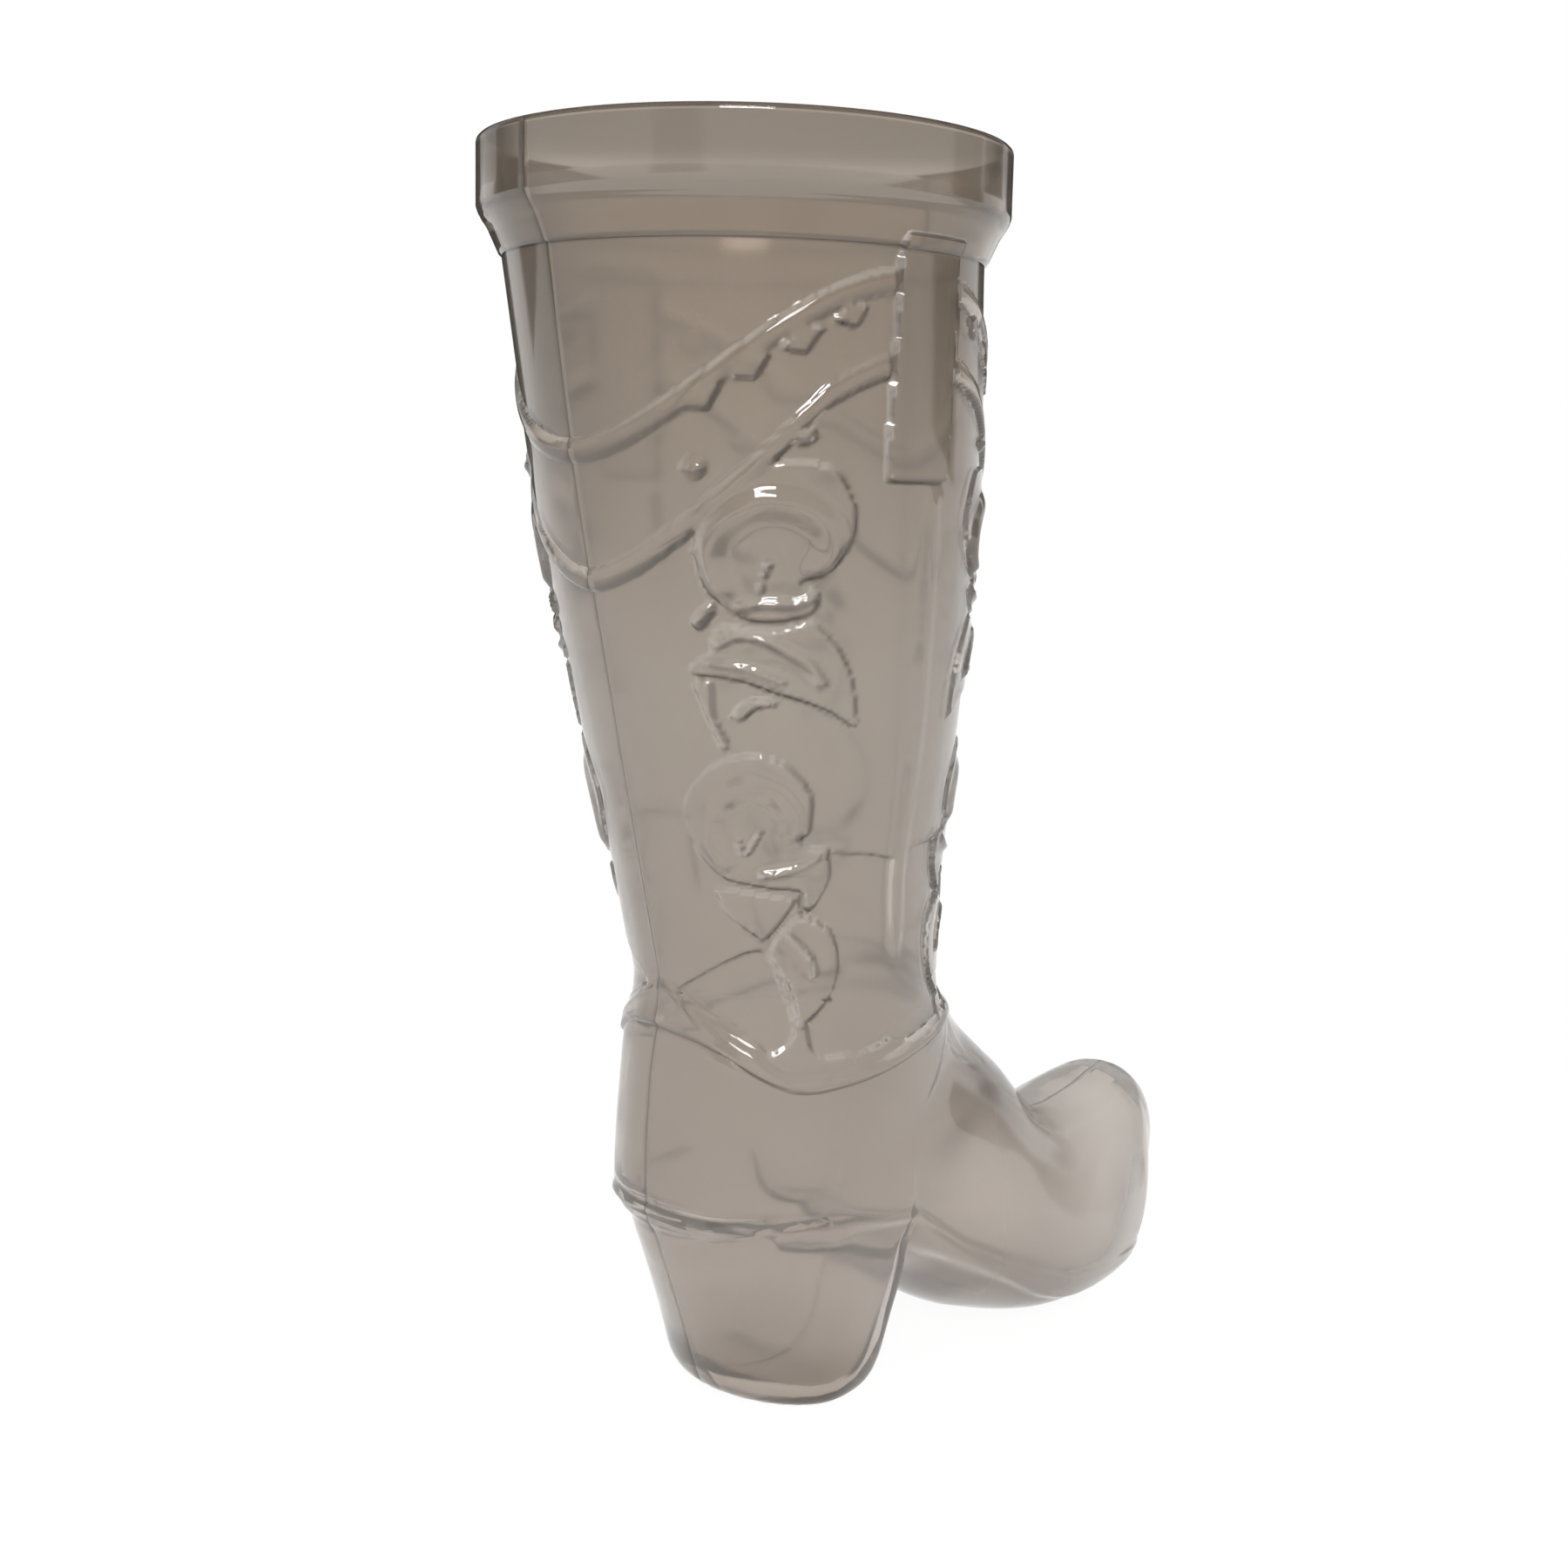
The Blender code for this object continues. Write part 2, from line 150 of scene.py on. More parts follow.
# Sections of the foot, with the same eight values as the shaft's levels
FOOT_STATIONS = SHAFT_STATIONS[2:] + [
    (-18.2, 62.5, 44.9, 72.8, 26.0, 0.50, 2.1, 2.0),
    (-19.0, 47.0, 49.0, 68.0, 25.5, 0.45, 2.2, 2.0),
    (-18.2, 36.5, 53.2, 63.6, 25.0, 0.40, 2.4, 2.0),
    (0.9, 31.3, 58.4, 58.8, 24.5, 0.36, 2.6, 2.0),
    (27.0, 21.0, 64.0, 54.0, 24.0, 0.36, 2.6, 2.0),
    (49.0, 5.0, 74.0, 43.8, 24.5, 0.38, 2.3, 2.0),
    (71.0, 0.0, 84.0, 37.6, 25.0, 0.38, 2.3, 2.0),
    (86.5, 1.8, 94.5, 39.6, 24.6, 0.40, 2.3, 2.1),
    (TOE_TIP - 16.0, 9.0, TOE_TIP - 9.8, 43.6, 16.0, 0.45, 2.3, 2.2),
    (TOE_TIP - 5.5, 18.0, TOE_TIP - 3.4, 39.4, 9.3, 0.50, 2.1, 2.1),
    (TOE_TIP - 1.2, 23.0, TOE_TIP - 0.9, 33.4, 4.2, 0.50, 2.0, 2.0),
    (TOE_TIP, 27.5, TOE_TIP, 28.5, 0.5, 0.50, 2.0, 2.0),
]
HEEL_TOP = 37.5
HEEL_BACK = (-5.0, -17.8)
HEEL_FRONT = (21.2, 32.5)
HEEL_HALF_WIDTH = (20.5, 23.2)
HEEL_SIDE_TAPER = 1.6
HEEL_CORNER = 3.0
HEEL_BASE_ROUNDING = 2.4
HEEL_FILLET = 1.6
HEEL_DOME = np.array((9.0, 6.0, 3.0))
HEEL_BACK_ROUND = 1.05
HEEL_BACK_SHARE = 0.62
SOCK_SMOOTHING = 3
HEEL_SMOOTHING = 4
SPINE = [
    # centre X and Z, turn of the lower rays from the back, turn of the upper rays, swing to the toe
    (ANKLE_FORWARD, ANKLE_HEIGHT, 0.0, 0.0, 0.0),
    (17.0, 66.0, 28.0, 22.0, 0.0),
    (21.0, 57.0, 50.0, 40.0, 0.0),
    (23.0, 52.0, 62.5, 48.0, 0.0),
    (24.0, 50.0, 86.5, 50.5, 0.0),
    (24.5, 48.0, 95.5, 51.5, 0.0),
    (35.0, 40.0, 92.0, 55.0, 0.0),
    (52.0, 28.0, 85.5, 65.0, 0.0),
    (74.0, 19.0, 81.0, 71.0, 0.0),
    (101.0, 25.0, 90.0, 78.0, 0.0),
    (103.0, 26.0, 192.0, 12.0, 87.0),
]
# Mesh rows of the foot: ways down the back from the ankle, and the spacing there; fine at band and heel seat
FOOT_RUNS = (0.0, 6.6, 7.5, 30.0, 33.0, 48.0, 54.0)
FOOT_ROWS = (0.26, 0.26, 1.1, 1.1, 0.65, 0.65, 1.9)
# Lower edge of the band round the ankle: degrees from the back seam, and heights
BAND_EDGE = ((0, 16, 24, 36, 43, 54, 65, 77, 91, 108, 124, 142, 180),
             (71.4, 70.5, 69.2, 65.6, 62.9, 61.4, 61.9, 62.5, 63.4, 65.0, 66.0, 67.4, 68.6))
BAND_REACH = 9.5


def grid_normals(points, closed=False):
    """Outward directions of a grid of points, from its rows and columns."""
    along = np.gradient(points, axis=0)
    if closed:
        around = np.roll(points, -1, axis=1) - np.roll(points, 1, axis=1)
    else:
        mirrored = points * (1, -1, 1)
        wide = np.concatenate([mirrored[:, 1:2], points, mirrored[:, -2:-1]], axis=1)
        around = wide[:, 2:] - wide[:, :-2]
    normal = np.cross(along, around)
    return normal / np.maximum(np.linalg.norm(normal, axis=2, keepdims=True), 1e-9)


def ray_target(rings):
    """Closed surface through rings of points, ready to be hit by rays."""
    rows, count = rings.shape[:2]
    index = np.arange(rows * count).reshape(rows, count)
    beside = np.roll(index, -1, axis=1)
    quads = np.stack([index[:-1], index[1:], beside[1:], beside[:-1]], axis=-1).reshape(-1, 4)
    faces = quads.tolist() + [index[0].tolist(), index[-1, ::-1].tolist()]
    return BVHTree.FromPolygons(rings.reshape(-1, 3).tolist(), faces)


def sock_target(inset):
    """Ankle and foot without the heel, moved inwards by the inset."""
    fineness = 20
    around = 360
    at = np.linspace(0, len(FOOT_STATIONS) - 1, (len(FOOT_STATIONS) - 1) * fineness + 1)
    columns = (column[:, None] for column in eased(FOOT_STATIONS, at).T)
    back_x, back_z, front_x, front_z, half, belly, low, high = columns
    turn = 2 * np.pi * np.arange(around) / around
    power = 2 / np.where(np.cos(turn) >= 0, low, high)
    reach = np.abs(np.cos(turn)) ** power
    t = np.where(np.cos(turn) >= 0, belly - belly * reach, belly + (1 - belly) * reach)
    side = -np.sign(np.sin(turn)) * half * np.abs(np.sin(turn)) ** power
    rings = np.stack([back_x + t * (front_x - back_x), side, back_z + t * (front_z - back_z)], axis=-1)
    return ray_target(rings - grid_normals(rings, closed=True) * inset)


def heel_target(inset):
    """Heel block with a round back, rounded breast corners and a rounded base edge."""
    turn = np.linspace(0, np.pi / 2, 60)
    corner = np.linspace(0, np.pi / 2, 14)
    sunk = np.linspace(np.pi / 2, 0, 7)
    sides = np.linspace(HEEL_TOP, inset + HEEL_BASE_ROUNDING, 12)
    base = inset + HEEL_BASE_ROUNDING * (1 - np.sin(np.pi / 2 - sunk[1:]))
    heights = np.concatenate([HEEL_TOP + HEEL_DOME, sides, base])
    trims = np.concatenate([HEEL_DOME, 0 * sides, HEEL_BASE_ROUNDING * (1 - np.sin(sunk[1:]))])
    rings = []
    for z, trim in zip(heights, trims):
        share = z / HEEL_TOP
        back = np.interp(share, (0, 1), HEEL_BACK) + inset + trim
        front = np.interp(share, (0, 1), HEEL_FRONT) - inset - trim
        half = np.interp(share, (0, 1), HEEL_HALF_WIDTH) - inset - trim
        middle = back + min(half * HEEL_BACK_ROUND, (front - back) * HEEL_BACK_SHARE)
        corner_y = half - HEEL_SIDE_TAPER - HEEL_CORNER
        x = np.concatenate([middle - (middle - back) * np.cos(turn),
                            front - HEEL_CORNER * (1 - np.sin(corner))])
        y = np.concatenate([half * np.sin(turn), corner_y + HEEL_CORNER * np.cos(corner)])
        ring = np.stack([np.concatenate([x, x[:0:-1]]), np.concatenate([-y, y[:0:-1]])], axis=1)
        rings.append(np.column_stack([ring, np.full(len(ring), z)]))
    return ray_target(np.array(rings))


RAY_NUDGE = np.array((0.011, 0.0, 0.007))


def way_out(target, start, ray):
    """Distance from a start to where a ray leaves the surface for the last time, or 0 if it never enters."""
    hit, normal, _, distance = target.ray_cast(start, ray)
    if hit is None:
        return 0.0
    if normal.dot(ray) > 0:
        return distance
    further = target.ray_cast(hit + ray * 1e-4, ray)[3]
    return distance + (further or 0.0)


def softened(field, times):
    """Field with its smallest facets smoothed away, mirrored over the seam."""
    for _ in range(times):
        wide = np.pad(field, ((1, 1), (0, 0)), mode="edge")
        field = (wide[:-2] + 2 * wide[1:-1] + wide[2:]) / 4
        wide = np.pad(field, ((0, 0), (1, 1)), mode="reflect")
        field = (wide[:, :-2] + 2 * wide[:, 1:-1] + wide[:, 2:]) / 4
    return field


def foot_rays(guides, columns):
    """Start and direction of every ray: from the sole or the heel, by the right side, to the instep."""
    x, z, lower, upper, swing = np.moveaxis(guides, -1, 0)
    lower, upper, swing = np.radians(lower), np.radians(upper), np.radians(swing)
    zero = np.zeros_like(x)
    down = np.stack([-np.cos(lower), zero, -np.sin(lower)], axis=-1)
    up = np.stack([np.cos(upper), zero, np.sin(upper)], axis=-1)
    toe = np.radians(SPINE[-1][3])
    aside = np.stack([np.sin(swing) * np.cos(toe), -np.cos(swing), np.sin(swing) * np.sin(toe)], axis=-1)
    c, s = np.cos(columns)[:, None], np.sin(columns)[:, None]
    rays = np.where(c >= 0, c * down, -c * up) + s * aside
    rays /= np.linalg.norm(rays, axis=2, keepdims=True)
    return np.broadcast_to(np.stack([x, zero, z], axis=-1), rays.shape), rays


def foot_points(guides, inset, columns=ROUND):
    """Points of the boot's skin below the ankle, along the rays, at one depth under the outer skin."""
    sock, heel = sock_target(inset), heel_target(inset)
    starts, rays = foot_rays(guides, columns)
    sock_reach, heel_reach = np.zeros(rays.shape[:2]), np.zeros(rays.shape[:2])
    for spot in np.ndindex(sock_reach.shape):
        from_here, toward = Vector(starts[spot] + RAY_NUDGE), Vector(rays[spot])
        sock_reach[spot] = way_out(sock, from_here, toward)
        heel_reach[spot] = way_out(heel, from_here, toward)
    if len(columns) > 1:
        sock_reach = softened(sock_reach, SOCK_SMOOTHING)
        heel_reach = np.where(heel_reach > 0, softened(heel_reach, HEEL_SMOOTHING), 0)
    apart = np.sqrt((sock_reach - heel_reach) ** 2 + HEEL_FILLET ** 2)
    return starts + rays * ((sock_reach + heel_reach + apart) / 2)[..., None]


def turn_round(points):
    """Degrees round the leaning shaft from the back seam."""
    return np.degrees(np.arctan2(-points[..., 1], lean(points[..., 2]) - points[..., 0]))


def above_band_edge(points):
    """How far every point lies above the lower edge of the band round the ankle."""
    turned = turn_round(points)
    return points[..., 2] - sum(np.interp(turned + way, *BAND_EDGE) for way in (-6, -3, 0, 3, 6)) / 5


def foot_rows():
    """Place of every foot point along the spine, and the row that keeps to the band's lower edge."""
    fine = np.linspace(0, len(SPINE) - 1, 900)
    profile = foot_points(eased(SPINE, fine)[:, None], 0.0, ROUND[:1])[:, 0]
    run = np.concatenate([[0], np.cumsum(np.linalg.norm(np.diff(profile, axis=0), axis=1))])
    row = np.interp(run, FOOT_RUNS, FOOT_ROWS)
    number = np.concatenate([[0], np.cumsum(np.diff(run) / row[1:])])
    at = np.interp(np.linspace(0, number[-1], round(number[-1])), number, fine)
    fine = np.linspace(0, BAND_REACH, 240)
    above = above_band_edge(foot_points(eased(SPINE, fine)[:, None], 0.0))
    edge = [np.interp(0, -column, fine) for column in above.T]
    edge_row = int(np.argmin(np.abs(at - edge[0])))
    at[edge_row] = edge[0]
    fading = np.clip((BAND_REACH - at) / (BAND_REACH - edge[0]), 0, 1) ** 1.5
    share = np.where(at < edge[0], at / edge[0], fading)
    return at[:, None] + share[:, None] * (np.array(edge) - edge[0]), edge_row


levels = shaft_levels()
spine_places, band_row = foot_rows()
guides = eased(SPINE, spine_places.ravel()).reshape(*spine_places.shape, -1)
skin = np.concatenate([shaft_points(levels, 0.0), foot_points(guides, 0.0)])
skin_normals = grid_normals(skin)

# Moulded trim
# Everything raised on the boot is part of the same wall: pull straps, a scalloped yoke, scrolls and
# leaves on each quarter of the shaft, a side rib, the band round the ankle and the sole's edge.
QUARTER_MIDDLE = 50.0
SIDE_LINE = 94.0
SHOULDER = 0.5
SOFT_SHOULDER = 0.9
# Mean radius of the shaft: heights, and the radii there
MEAN_RADIUS = ((70, 78, 96, 130, 167, 203), (26.5, 27.6, 29.2, 34.6, 39.0, 41.2))


def girth(z):
    """Millimetres round the shaft for one degree of turn."""
    return np.radians(1) * np.interp(z, *MEAN_RADIUS)


def place(points):
    """Turn from the back seam, way across a quarter from its middle, and height of every point."""
    turned, z = turn_round(points), points[..., 2]
    quarter = SIDE_LINE - np.abs(turned - SIDE_LINE)
    return turned, (quarter - QUARTER_MIDDLE) * girth(z), z


def rounded_step(share):
    """Smooth step from 0 to 1."""
    share = np.clip(share, 0, 1)
    return share * share * (3 - 2 * share)


def smooth_curve(points, closed=False, fineness=6):
    """Flowing curve through a few points."""
    points = np.asarray(points, float)
    if closed:
        ring = np.vstack([points[-1:], points, points[:2]])
    else:
        ring = np.vstack([2 * points[:1] - points[1:2], points, 2 * points[-1:] - points[-2:-1]])
    t = np.linspace(0, 1, fineness, endpoint=False)[:, None]
    runs = []
    for a, b, c, d in zip(ring, ring[1:], ring[2:], ring[3:]):
        runs.append(b + t * (c - a) / 2 + t ** 2 * (a - 2.5 * b + 2 * c - d / 2)
                    + t ** 3 * (1.5 * (b - c) + (d - a) / 2))
    return np.vstack(runs + [ring[-2:-1]])


def distance_to(curve, u, v):
    """Shortest distance of every point to a curve of short straight runs."""
    best = np.full(u.shape, np.inf)
    for (ax, ay), (bx, by) in zip(curve, curve[1:]):
        dx, dy = bx - ax, by - ay
        t = np.clip(((u - ax) * dx + (v - ay) * dy) / max(dx * dx + dy * dy, 1e-9), 0, 1)
        best = np.minimum(best, np.hypot(u - ax - t * dx, v - ay - t * dy))
    return best


def inside(curve, u, v):
    """True where a point lies within a closed curve."""
    hit = np.zeros(u.shape, bool)
    for (ax, ay), (bx, by) in zip(curve, curve[1:]):
        if ay != by:
            hit ^= ((ay > v) != (by > v)) & (u < ax + (v - ay) * (bx - ax) / (by - ay))
    return hit


def field_depth(curve, points, margin=2.5):
    """How far every point lies within a closed outline on the shaft; negative outside it."""
    _, u, v = place(points)
    low, high = curve.min(0) - margin, curve.max(0) + margin
    near = (u > low[0]) & (u < high[0]) & (v > low[1]) & (v < high[1])
    depth = np.full(u.shape, -margin)
    away = distance_to(curve, u[near], v[near])
    depth[near] = np.where(inside(curve, u[near], v[near]), away, -away)
    return depth


def roll(curve, width, points):
    """Rounded raised line along a curve on the shaft, 1 high."""
    _, u, v = place(points)
    low, high = curve.min(0) - width, curve.max(0) + width
    near = (u > low[0]) & (u < high[0]) & (v > low[1]) & (v < high[1])
    raised = np.zeros(u.shape)
    raised[near] = 1 - rounded_step(distance_to(curve, u[near], v[near]) / (width / 2))
    return raised


def uphill(points, field):
    """Way along the skin in which a field rises, as long as it is steep."""
    down, aside = np.gradient(points, axis=0), np.gradient(points, axis=1)
    fall, turn = np.gradient(field, axis=0), np.gradient(field, axis=1)
    dd, aa, da = (down * down).sum(2), (aside * aside).sum(2), (down * aside).sum(2)
    spread = np.maximum(dd * aa - da * da, 1e-9)
    return (((aa * fall - da * turn) / spread)[..., None] * down
            + ((dd * turn - da * fall) / spread)[..., None] * aside)


EDGE_REACH = 0.26
LEAST_SLOPE = 0.2


def drawn_to_edge(points, depth):
    """Moves the points next to an outline onto it, along the skin, so that its edge comes out crisp."""
    way = uphill(points, depth)
    steep = np.maximum((way * way).sum(2), LEAST_SLOPE)
    return points - np.where(np.abs(depth) < EDGE_REACH, depth / steep, 0)[..., None] * way


# Each raised field: its outline, then the rolls and veins on it as (points, width, height)
ORNAMENT = [
    # upper scroll: a swelling horn that curls round an open eye and ends in a tail
    ([(8.6, 148.9), (8.6, 147.2), (7.1, 145.2), (4.0, 144.3), (0.7, 143.8), (-2.7, 144.0), (-6.0, 145.6),
      (-8.4, 147.5), (-10.1, 149.8), (-10.8, 152.3), (-11.3, 155.8), (-10.2, 159.8), (-7.5, 163.4),
      (-3.5, 166.6), (2.0, 169.0), (7.1, 169.7), (12.6, 168.2), (15.4, 163.2), (15.6, 160.4), (15.0, 157.6),
      (13.4, 155.1), (11.6, 152.8), (9.1, 151.2), (6.0, 150.4)],
     [([(-7.6, 149.2), (-8.9, 154.5), (-6.6, 159.2), (-0.3, 162.7), (6.0, 162.2), (9.9, 159.4),
        (10.6, 155.2), (8.8, 152.4)], 7.6, 1.0),
      ([(-4.0, 146.4), (-0.3, 147.1), (4.3, 147.0), (7.2, 148.0)], 2.6, 0.7),
      ([(0.8, 153.7), (-0.4, 151.0), (-1.0, 148.7)], 1.4, 0.5)]),
    # pointed leaf under it, its curled root and the stalk that leads down
    ([(7.1, 144.2), (9.7, 142.1), (11.7, 139.8), (13.2, 136.8), (14.1, 133.9), (14.4, 130.3), (14.2, 126.3),
      (9.8, 128.8), (5.3, 130.7), (0.7, 132.1), (-4.4, 133.9), (-9.0, 134.6), (-12.6, 134.9), (-13.2, 136.6),
      (-12.1, 137.5), (-9.6, 139.1), (-9.4, 141.4), (-7.0, 143.4), (-2.0, 142.8), (3.0, 143.1)],
     [([(-8.4, 140.2), (-5.2, 141.8), (-1.0, 141.4), (3.6, 138.9), (6.5, 136.9), (8.2, 134.2)], 3.2, 0.8),
      ([(-9.5, 137.2), (-3.3, 136.2), (1.5, 134.2)], 2.6, 0.6)]),
    ([(-12.4, 144.0), (-9.6, 147.0), (-8.2, 145.6), (-10.4, 142.6), (-11.8, 142.4)],
     [([(-11.3, 143.6), (-9.2, 146.0)], 2.2, 0.7)]),
    ([(-12.8, 133.9), (-12.0, 130.6), (-10.2, 126.0), (-8.6, 122.4), (-7.3, 123.6), (-8.7, 126.6),
      (-9.5, 129.3), (-9.6, 133.8)], []),
    ([(-7.0, 128.0), (-5.4, 130.2), (-3.3, 131.4), (-0.8, 131.4), (1.4, 130.2), (-2.4, 129.5),
      (-4.8, 127.6)], []),
    # lower scroll with the small leaf on its right
    ([(3.9, 118.4), (5.7, 115.9), (6.2, 113.4), (6.0, 111.3), (5.4, 108.4), (3.9, 107.0), (5.6, 105.8),
      (8.6, 105.5), (8.9, 103.5), (9.1, 101.0), (8.0, 98.2), (4.8, 94.3), (3.4, 95.1), (3.1, 97.7),
      (-0.9, 98.2), (-4.5, 98.8), (-9.5, 100.0), (-12.9, 103.2), (-14.9, 107.1), (-16.2, 111.1),
      (-15.2, 114.6), (-12.8, 118.1), (-9.0, 120.7), (-4.0, 122.0), (1.0, 121.0)],
     [([(-9.4, 103.4), (-11.4, 107.8), (-10.2, 113.0), (-5.6, 116.2), (-0.4, 115.4), (2.4, 111.8),
        (1.8, 108.6)], 6.4, 0.9),
      ([(-3.0, 101.0), (1.1, 101.7), (3.6, 102.6), (6.2, 104.0)], 2.6, 0.7),
      ([(-6.9, 107.0), (-5.7, 104.7), (-3.1, 108.7)], 1.4, 0.5)]),
    # leaf that hangs between, and the lower leaf
    ([(-11.0, 98.4), (-10.6, 96.1), (-9.2, 93.3), (-5.2, 90.0), (-3.2, 89.4), (0.4, 93.3), (2.2, 96.4),
      (-0.9, 97.2), (-4.5, 97.8)],
     []),
    ([(4.4, 93.2), (8.2, 91.1), (9.5, 88.2), (9.8, 84.7), (8.7, 80.6), (6.6, 77.4), (3.0, 74.1), (1.7, 73.4),
      (0.8, 78.7), (-0.5, 82.4), (-2.7, 86.1), (-2.0, 89.0), (1.4, 92.8)],
     [([(0.6, 90.6), (2.8, 88.0), (4.4, 85.7), (4.7, 83.0)], 1.8, 0.6)]),
    # small buds above the upper scroll
    ([(-12.6, 168.0), (-11.0, 170.4), (-8.6, 169.6), (-8.4, 167.2), (-10.6, 165.8)],
     [([(-11.2, 168.2), (-9.8, 167.8)], 3.0, 0.6)]),
    ([(5.4, 173.6), (8.6, 174.8), (9.6, 173.0), (7.0, 171.8)], [([(6.6, 173.2), (8.4, 173.4)], 2.4, 0.6)]),
]
LOZENGES = [
    [(15.1, 194.2), (19.5, 193.7), (17.1, 189.9), (12.9, 190.8)],
    [(7.2, 190.6), (12.0, 190.2), (8.3, 185.7), (4.0, 186.4)],
    [(-1.6, 186.3), (3.4, 186.3), (0.2, 181.6), (-4.2, 182.0)],
    [(-9.6, 181.4), (-4.6, 181.4), (-7.4, 176.8), (-12.0, 177.2)],
]
# Sunk fields beside the leaves: a triangle behind them and a broad one in front
SUNK = [
    [(-20.3, 78.4), (-14.0, 82.9), (-9.4, 85.7), (-5.7, 87.3), (-3.0, 86.6), (-0.5, 80.0), (1.0, 72.5),
     (-3.1, 68.6), (-6.1, 71.2), (-13.3, 75.1), (-17.2, 77.0)],
    [(8.6, 104.2), (12.8, 104.3), (17.0, 104.0), (21.7, 102.9), (26.6, 100.6), (27.6, 90.0), (26.0, 76.0),
     (20.0, 69.4), (10.0, 67.6), (3.0, 70.0), (4.0, 84.0), (3.0, 97.0)],
]


def straight_outline(points):
    """Closed outline with straight sides."""
    return np.array(points + points[:1], float)


STRAP_TURN = 91.4
STRAP_LEAN = 0.13
STRAP_HALF_WIDTH = 7.4
STRAP_BOTTOM = 166.3
STRAP_CORNER = 2.2
STRAP_PROUD = 0.75
STRAP_MARGIN = 0.6


def strap_depth(points):
    """How far every point lies within the pull strap, which hangs from the neck at the side."""
    turned, _, z = place(points)
    middle = STRAP_TURN + STRAP_LEAN * (z - STRAP_BOTTOM)
    u = np.abs(turned - middle) * girth(z) - STRAP_HALF_WIDTH + STRAP_CORNER
    v = STRAP_BOTTOM + STRAP_CORNER - z
    round_off = np.hypot(np.maximum(u, 0), np.maximum(v, 0)) + np.minimum(np.maximum(u, v), 0)
    return np.where(z < NECK_HEIGHT + 2, STRAP_CORNER - round_off, -STRAP_CORNER)


YOKE_MIDDLE = 186.3
YOKE_SWING = 13.7
YOKE_PROUD = 0.2
# Width of the yoke: degrees across a quarter from the seam, and the widths there
YOKE_WIDTH = ((0, 48, 53, 66, 80, 90), (21.0, 18.1, 17.2, 14.0, 12.9, 12.6))
YOKE_BORDER = 4.2
BORDER_PROUD = 0.35
BORDER_CROWN = 0.5
LOZENGE_PROUD = 0.75


def yoke_depths(points):
    """How far every point lies within the yoke and within its upper and lower border."""
    turned, _, z = place(points)
    quarter = SIDE_LINE - np.abs(turned - SIDE_LINE)
    fall = YOKE_MIDDLE + YOKE_SWING * np.cos(np.radians(2 * np.clip(90 - quarter, 0, 90))) - z
    lower = fall - np.interp(quarter, *YOKE_WIDTH)
    upper_border = np.minimum(fall, YOKE_BORDER - fall)
    lower_border = np.minimum(lower, YOKE_BORDER - lower)
    return np.minimum(fall, YOKE_BORDER - lower), upper_border, lower_border


# Upper edge of the band round the ankle: degrees from the back seam, and heights
BAND_TOP = ((0, 8, 21, 29, 37, 43, 47, 65, 90, 124, 180),
            (80.6, 78.8, 75.0, 72.8, 70.6, 67.7, 66.2, 66.0, 67.4, 70.4, 72.6))
BAND_PROUD = 0.75
BAND_SOFT_EDGE = 2.4
BAND_CRISP_EDGE = 0.9
BAND_FRONT = 62.0


def band_height(points):
    """Height of the band round the ankle, with a soft upper and a crisp lower edge."""
    falls = rounded_step((np.interp(turn_round(points), *BAND_TOP) - points[..., 2]) / BAND_SOFT_EDGE)
    rises = rounded_step(above_band_edge(points) / BAND_CRISP_EDGE)
    return BAND_PROUD * np.minimum(falls, rises) * (points[..., 0] < BAND_FRONT)


# Welt: places along the boot and heights, from the back of the heel seat along the sole to the toe
WELT = ((-20, -10, 0, 11, 19, 26, 33, 40, 55, 66, 80, 95, 108, 120),
        (38.4, 37.2, 36.9, 35.6, 34.4, 34.0, 29.3, 24.6, 17.2, 12.9, 11, 13, 18, 24))
WELT_PROUD = 0.5
WELT_HALF_WIDTH = 1.5


def welt_height(points):
    """Height of the rounded welt over the heel and the sole."""
    away = np.abs(points[..., 2] - np.interp(points[..., 0], *WELT))
    return WELT_PROUD * (1 - rounded_step(away / WELT_HALF_WIDTH))


# Lower edge of the sole: places along the boot and heights, from the heel's breast to the toe
SOLE_LOW = ((20, 26, 32, 42, 54, 61, 70, 85, 100, 112, 120),
            (27, 25.4, 24.0, 19.2, 13, 8.7, 5.6, 5.2, 8.2, 14, 20))
SOLE_BACK = 27.0
SOLE_PROUD = 0.7


def sole_depth(points):
    """How far every point lies within the edge of the sole, which runs out at the heel's breast."""
    x, z = points[..., 0], points[..., 2]
    within = np.minimum(np.interp(x, *WELT) - z, z - np.interp(x, *SOLE_LOW))
    return np.minimum(within, (x - SOLE_BACK) / 2)


outlines = []
for outline, rolls in ORNAMENT:
    rolls = [(smooth_curve(line), width, high) for line, width, high in rolls]
    outlines.append((smooth_curve(outline, closed=True), rolls))
lozenges = [straight_outline(points) for points in LOZENGES]
hollows = [smooth_curve(points, closed=True) for points in SUNK]
for outline in hollows + [outline for outline, _ in outlines] + lozenges:
    skin = drawn_to_edge(skin, field_depth(outline, skin))
    skin = drawn_to_edge(skin, field_depth(outline, skin) - SHOULDER)
for inset in (0, SHOULDER):
    skin = drawn_to_edge(skin, strap_depth(skin) - inset)
for border in (1, 2):
    skin = drawn_to_edge(skin, yoke_depths(skin)[border])


PAD_PROUD = 0.5
PAD_MARGIN = 1.5
SUNK_DEPTH = 0.4
SUNK_MARGIN = 0.3
FOLD_TURN = 97.0
FOLD_BOTTOM = 80.0
FOLD_PROUD = 0.45
FOLD_HALF_WIDTH = 3.4
FOLD_RUN_IN = 3.0
FOLD_RUN_OUT = 14.0


def raised(depth, proud, shoulder=SHOULDER):
    """Height of a raised field with a steep shoulder."""
    return proud * rounded_step(depth / shoulder)


